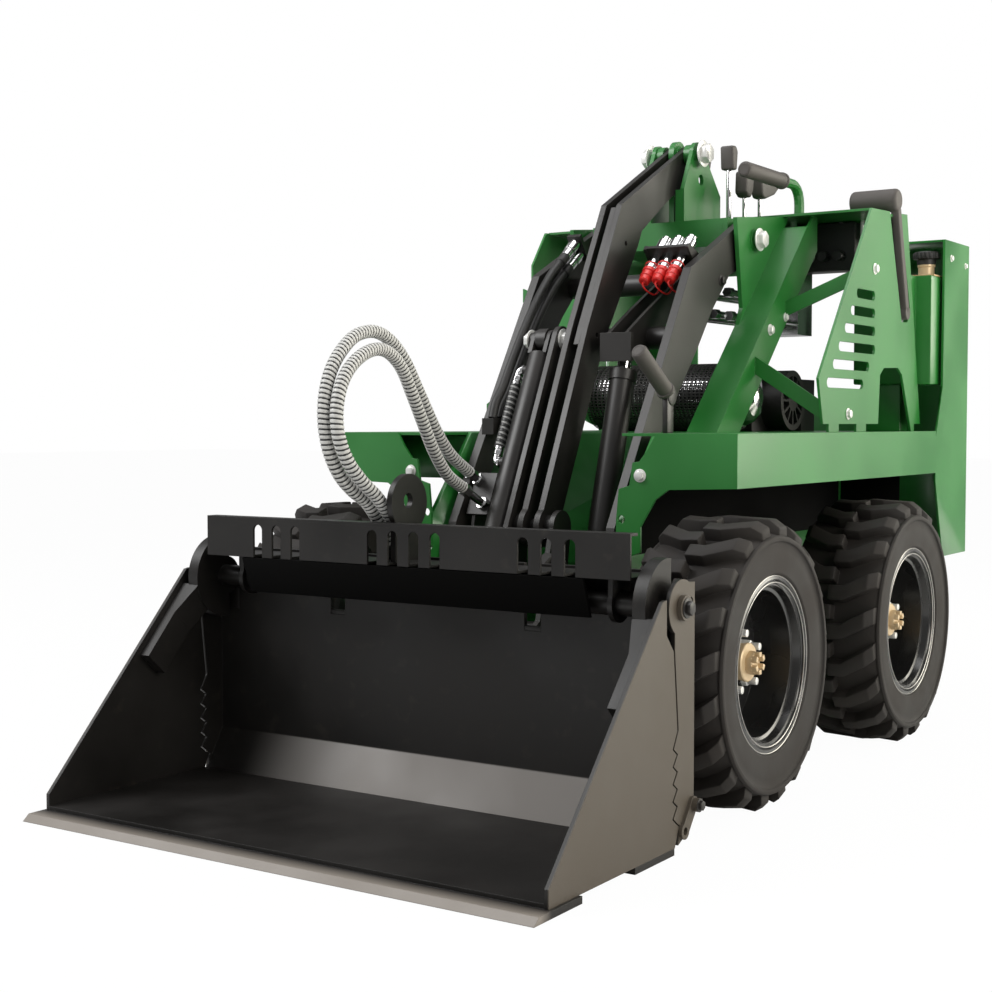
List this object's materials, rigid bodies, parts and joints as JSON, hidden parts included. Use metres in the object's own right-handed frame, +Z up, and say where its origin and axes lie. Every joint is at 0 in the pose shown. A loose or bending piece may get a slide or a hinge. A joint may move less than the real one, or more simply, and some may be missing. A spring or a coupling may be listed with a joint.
{
  "type": "wheeled mini loader",
  "caption": "Compact stand-behind wheeled loader with a bent lift boom between arm cheeks, hydraulic cylinders and a four-in-one bucket.",
  "frame": {"origin": "middle of the bounding box on the ground", "axes": "+Z up, the bucket faces -Y, +X to the machine's left"},
  "size_m": [1.154, 2.27, 1.419],
  "materials": {
    "green_paint": "satin",
    "black_paint": "satin",
    "steel": "polished",
    "iron": "matte",
    "plastic": "matte",
    "tyre": "matte",
    "rim_black": "gloss",
    "cap_red": "gloss",
    "hose": "matte",
    "grip_grey": "matte"
  },
  "bodies": {
    "base": {"tub": "green_paint", "fender_left": "green_paint", "fender_right": "green_paint", "axle_motors": "iron", "upright_left": "green_paint", "upright_right": "green_paint", "tower": "green_paint", "console": "green_paint", "guard_left": "green_paint", "guard_right": "green_paint", "rear_panel": "green_paint", "tank": "green_paint", "tank_cap": "plastic", "engine": "iron", "muffler": "steel", "hydraulic_lines": "steel", "levers": "grip_grey", "knobs": "grip_grey"},
    "lift_arm": {"cheek_left": "black_paint", "cheek_right": "black_paint", "arm_tubes": "black_paint", "couplers": "steel", "dust_caps": "cap_red", "arm_hoses": "hose"},
    "boom": {"boom": "black_paint"},
    "mast": {"mast": "black_paint", "ports": "steel", "loop_hose_1": "hose", "loop_hose_2": "hose"},
    "tilt_barrel": {"tilt_barrel": "black_paint", "tilt_hose": "steel"},
    "tilt_rod": {"tilt_rod": "steel"},
    "lift_barrel": {"lift_barrel": "black_paint"},
    "lift_rod": {"lift_rod": "steel"},
    "bucket": {"blade": "black_paint", "spill_guard": "black_paint", "hitch": "black_paint", "clam_barrels": "black_paint"},
    "clam": {"clam_sides": "black_paint", "clam_floor": "black_paint", "clam_tube": "black_paint"},
    "clam_rods": {"clam_rods": "steel"},
    "wheel_fl": {"tyre_fl": "tyre", "rim_fl": "rim_black"},
    "wheel_fr": {"tyre_fr": "tyre", "rim_fr": "rim_black"},
    "wheel_rl": {"tyre_rl": "tyre", "rim_rl": "rim_black"},
    "wheel_rr": {"tyre_rr": "tyre", "rim_rr": "rim_black"}
  },
  "joints": [
    {"name": "lift", "type": "hinge", "parent": "base", "child": "lift_arm", "pos_m": [0, 0.369, 1.165], "axis": [-1, 0, 0], "range_deg": [0, 80]},
    {"name": "boom_turn", "type": "hinge", "parent": "base", "child": "boom", "pos_m": [0, 0.407, 1.385], "axis": [-1, 0, 0], "range_deg": [0, 80]},
    {"name": "mast_level", "type": "hinge", "parent": "lift_arm", "child": "mast", "pos_m": [0, -0.265, 0.298], "axis": [-1, 0, 0], "range_deg": [-80, 0]},
    {"name": "tilt", "type": "hinge", "parent": "mast", "child": "bucket", "pos_m": [0, -0.57, 0.15], "axis": [1, 0, 0], "range_deg": [-10, 50], "deforming": ["loop_hose_1", "loop_hose_2"]},
    {"name": "tilt_barrel_swing", "type": "hinge", "parent": "mast", "child": "tilt_barrel", "pos_m": [0, -0.052, 0.922], "axis": [1, 0, 0], "range_deg": [-3.96, 1.13]},
    {"name": "tilt_rod_slide", "type": "slide", "parent": "tilt_barrel", "child": "tilt_rod", "axis": [0, -0.4305, -0.9026], "range_m": [-0.1034, 0.0239]},
    {"name": "lift_barrel_swing", "type": "hinge", "parent": "base", "child": "lift_barrel", "pos_m": [0, -0.212, 0.205], "axis": [1, 0, 0], "range_deg": [0, 4.96]},
    {"name": "lift_rod_slide", "type": "slide", "parent": "lift_barrel", "child": "lift_rod", "axis": [0, 0.2773, 0.9608], "range_m": [0, 0.5893]},
    {"name": "clam", "type": "hinge", "parent": "bucket", "child": "clam", "pos_m": [0, -0.65, 0.422], "axis": [-1, 0, 0], "range_deg": [0, 55]},
    {"name": "clam_rod_slide", "type": "slide", "parent": "bucket", "child": "clam_rods", "axis": [0, 0, 1], "range_m": [-0.0996, 0]},
    {"name": "wheel_fl_spin", "type": "hinge", "parent": "base", "child": "wheel_fl", "pos_m": [0.47, -0.295, 0.28], "axis": [-1, 0, 0], "continuous": true},
    {"name": "wheel_fr_spin", "type": "hinge", "parent": "base", "child": "wheel_fr", "pos_m": [-0.47, -0.295, 0.28], "axis": [-1, 0, 0], "continuous": true},
    {"name": "wheel_rl_spin", "type": "hinge", "parent": "base", "child": "wheel_rl", "pos_m": [0.47, 0.494, 0.28], "axis": [-1, 0, 0], "continuous": true},
    {"name": "wheel_rr_spin", "type": "hinge", "parent": "base", "child": "wheel_rr", "pos_m": [-0.47, 0.494, 0.28], "axis": [-1, 0, 0], "continuous": true}
  ],
  "couplings": [
    {"joint": "boom_turn", "follows": "lift", "ratio": 1},
    {"joint": "mast_level", "follows": "lift", "ratio": -1},
    {"joint": "lift_barrel_swing", "follows": "lift", "ratio": 0.05902},
    {"joint": "lift_rod_slide", "follows": "lift", "m_per_rad": 0.41922},
    {"joint": "tilt_barrel_swing", "follows": "tilt", "ratio": -0.0755},
    {"joint": "tilt_rod_slide", "follows": "tilt", "m_per_rad": -0.11385},
    {"joint": "clam_rod_slide", "follows": "clam", "m_per_rad": -0.10068}
  ]
}
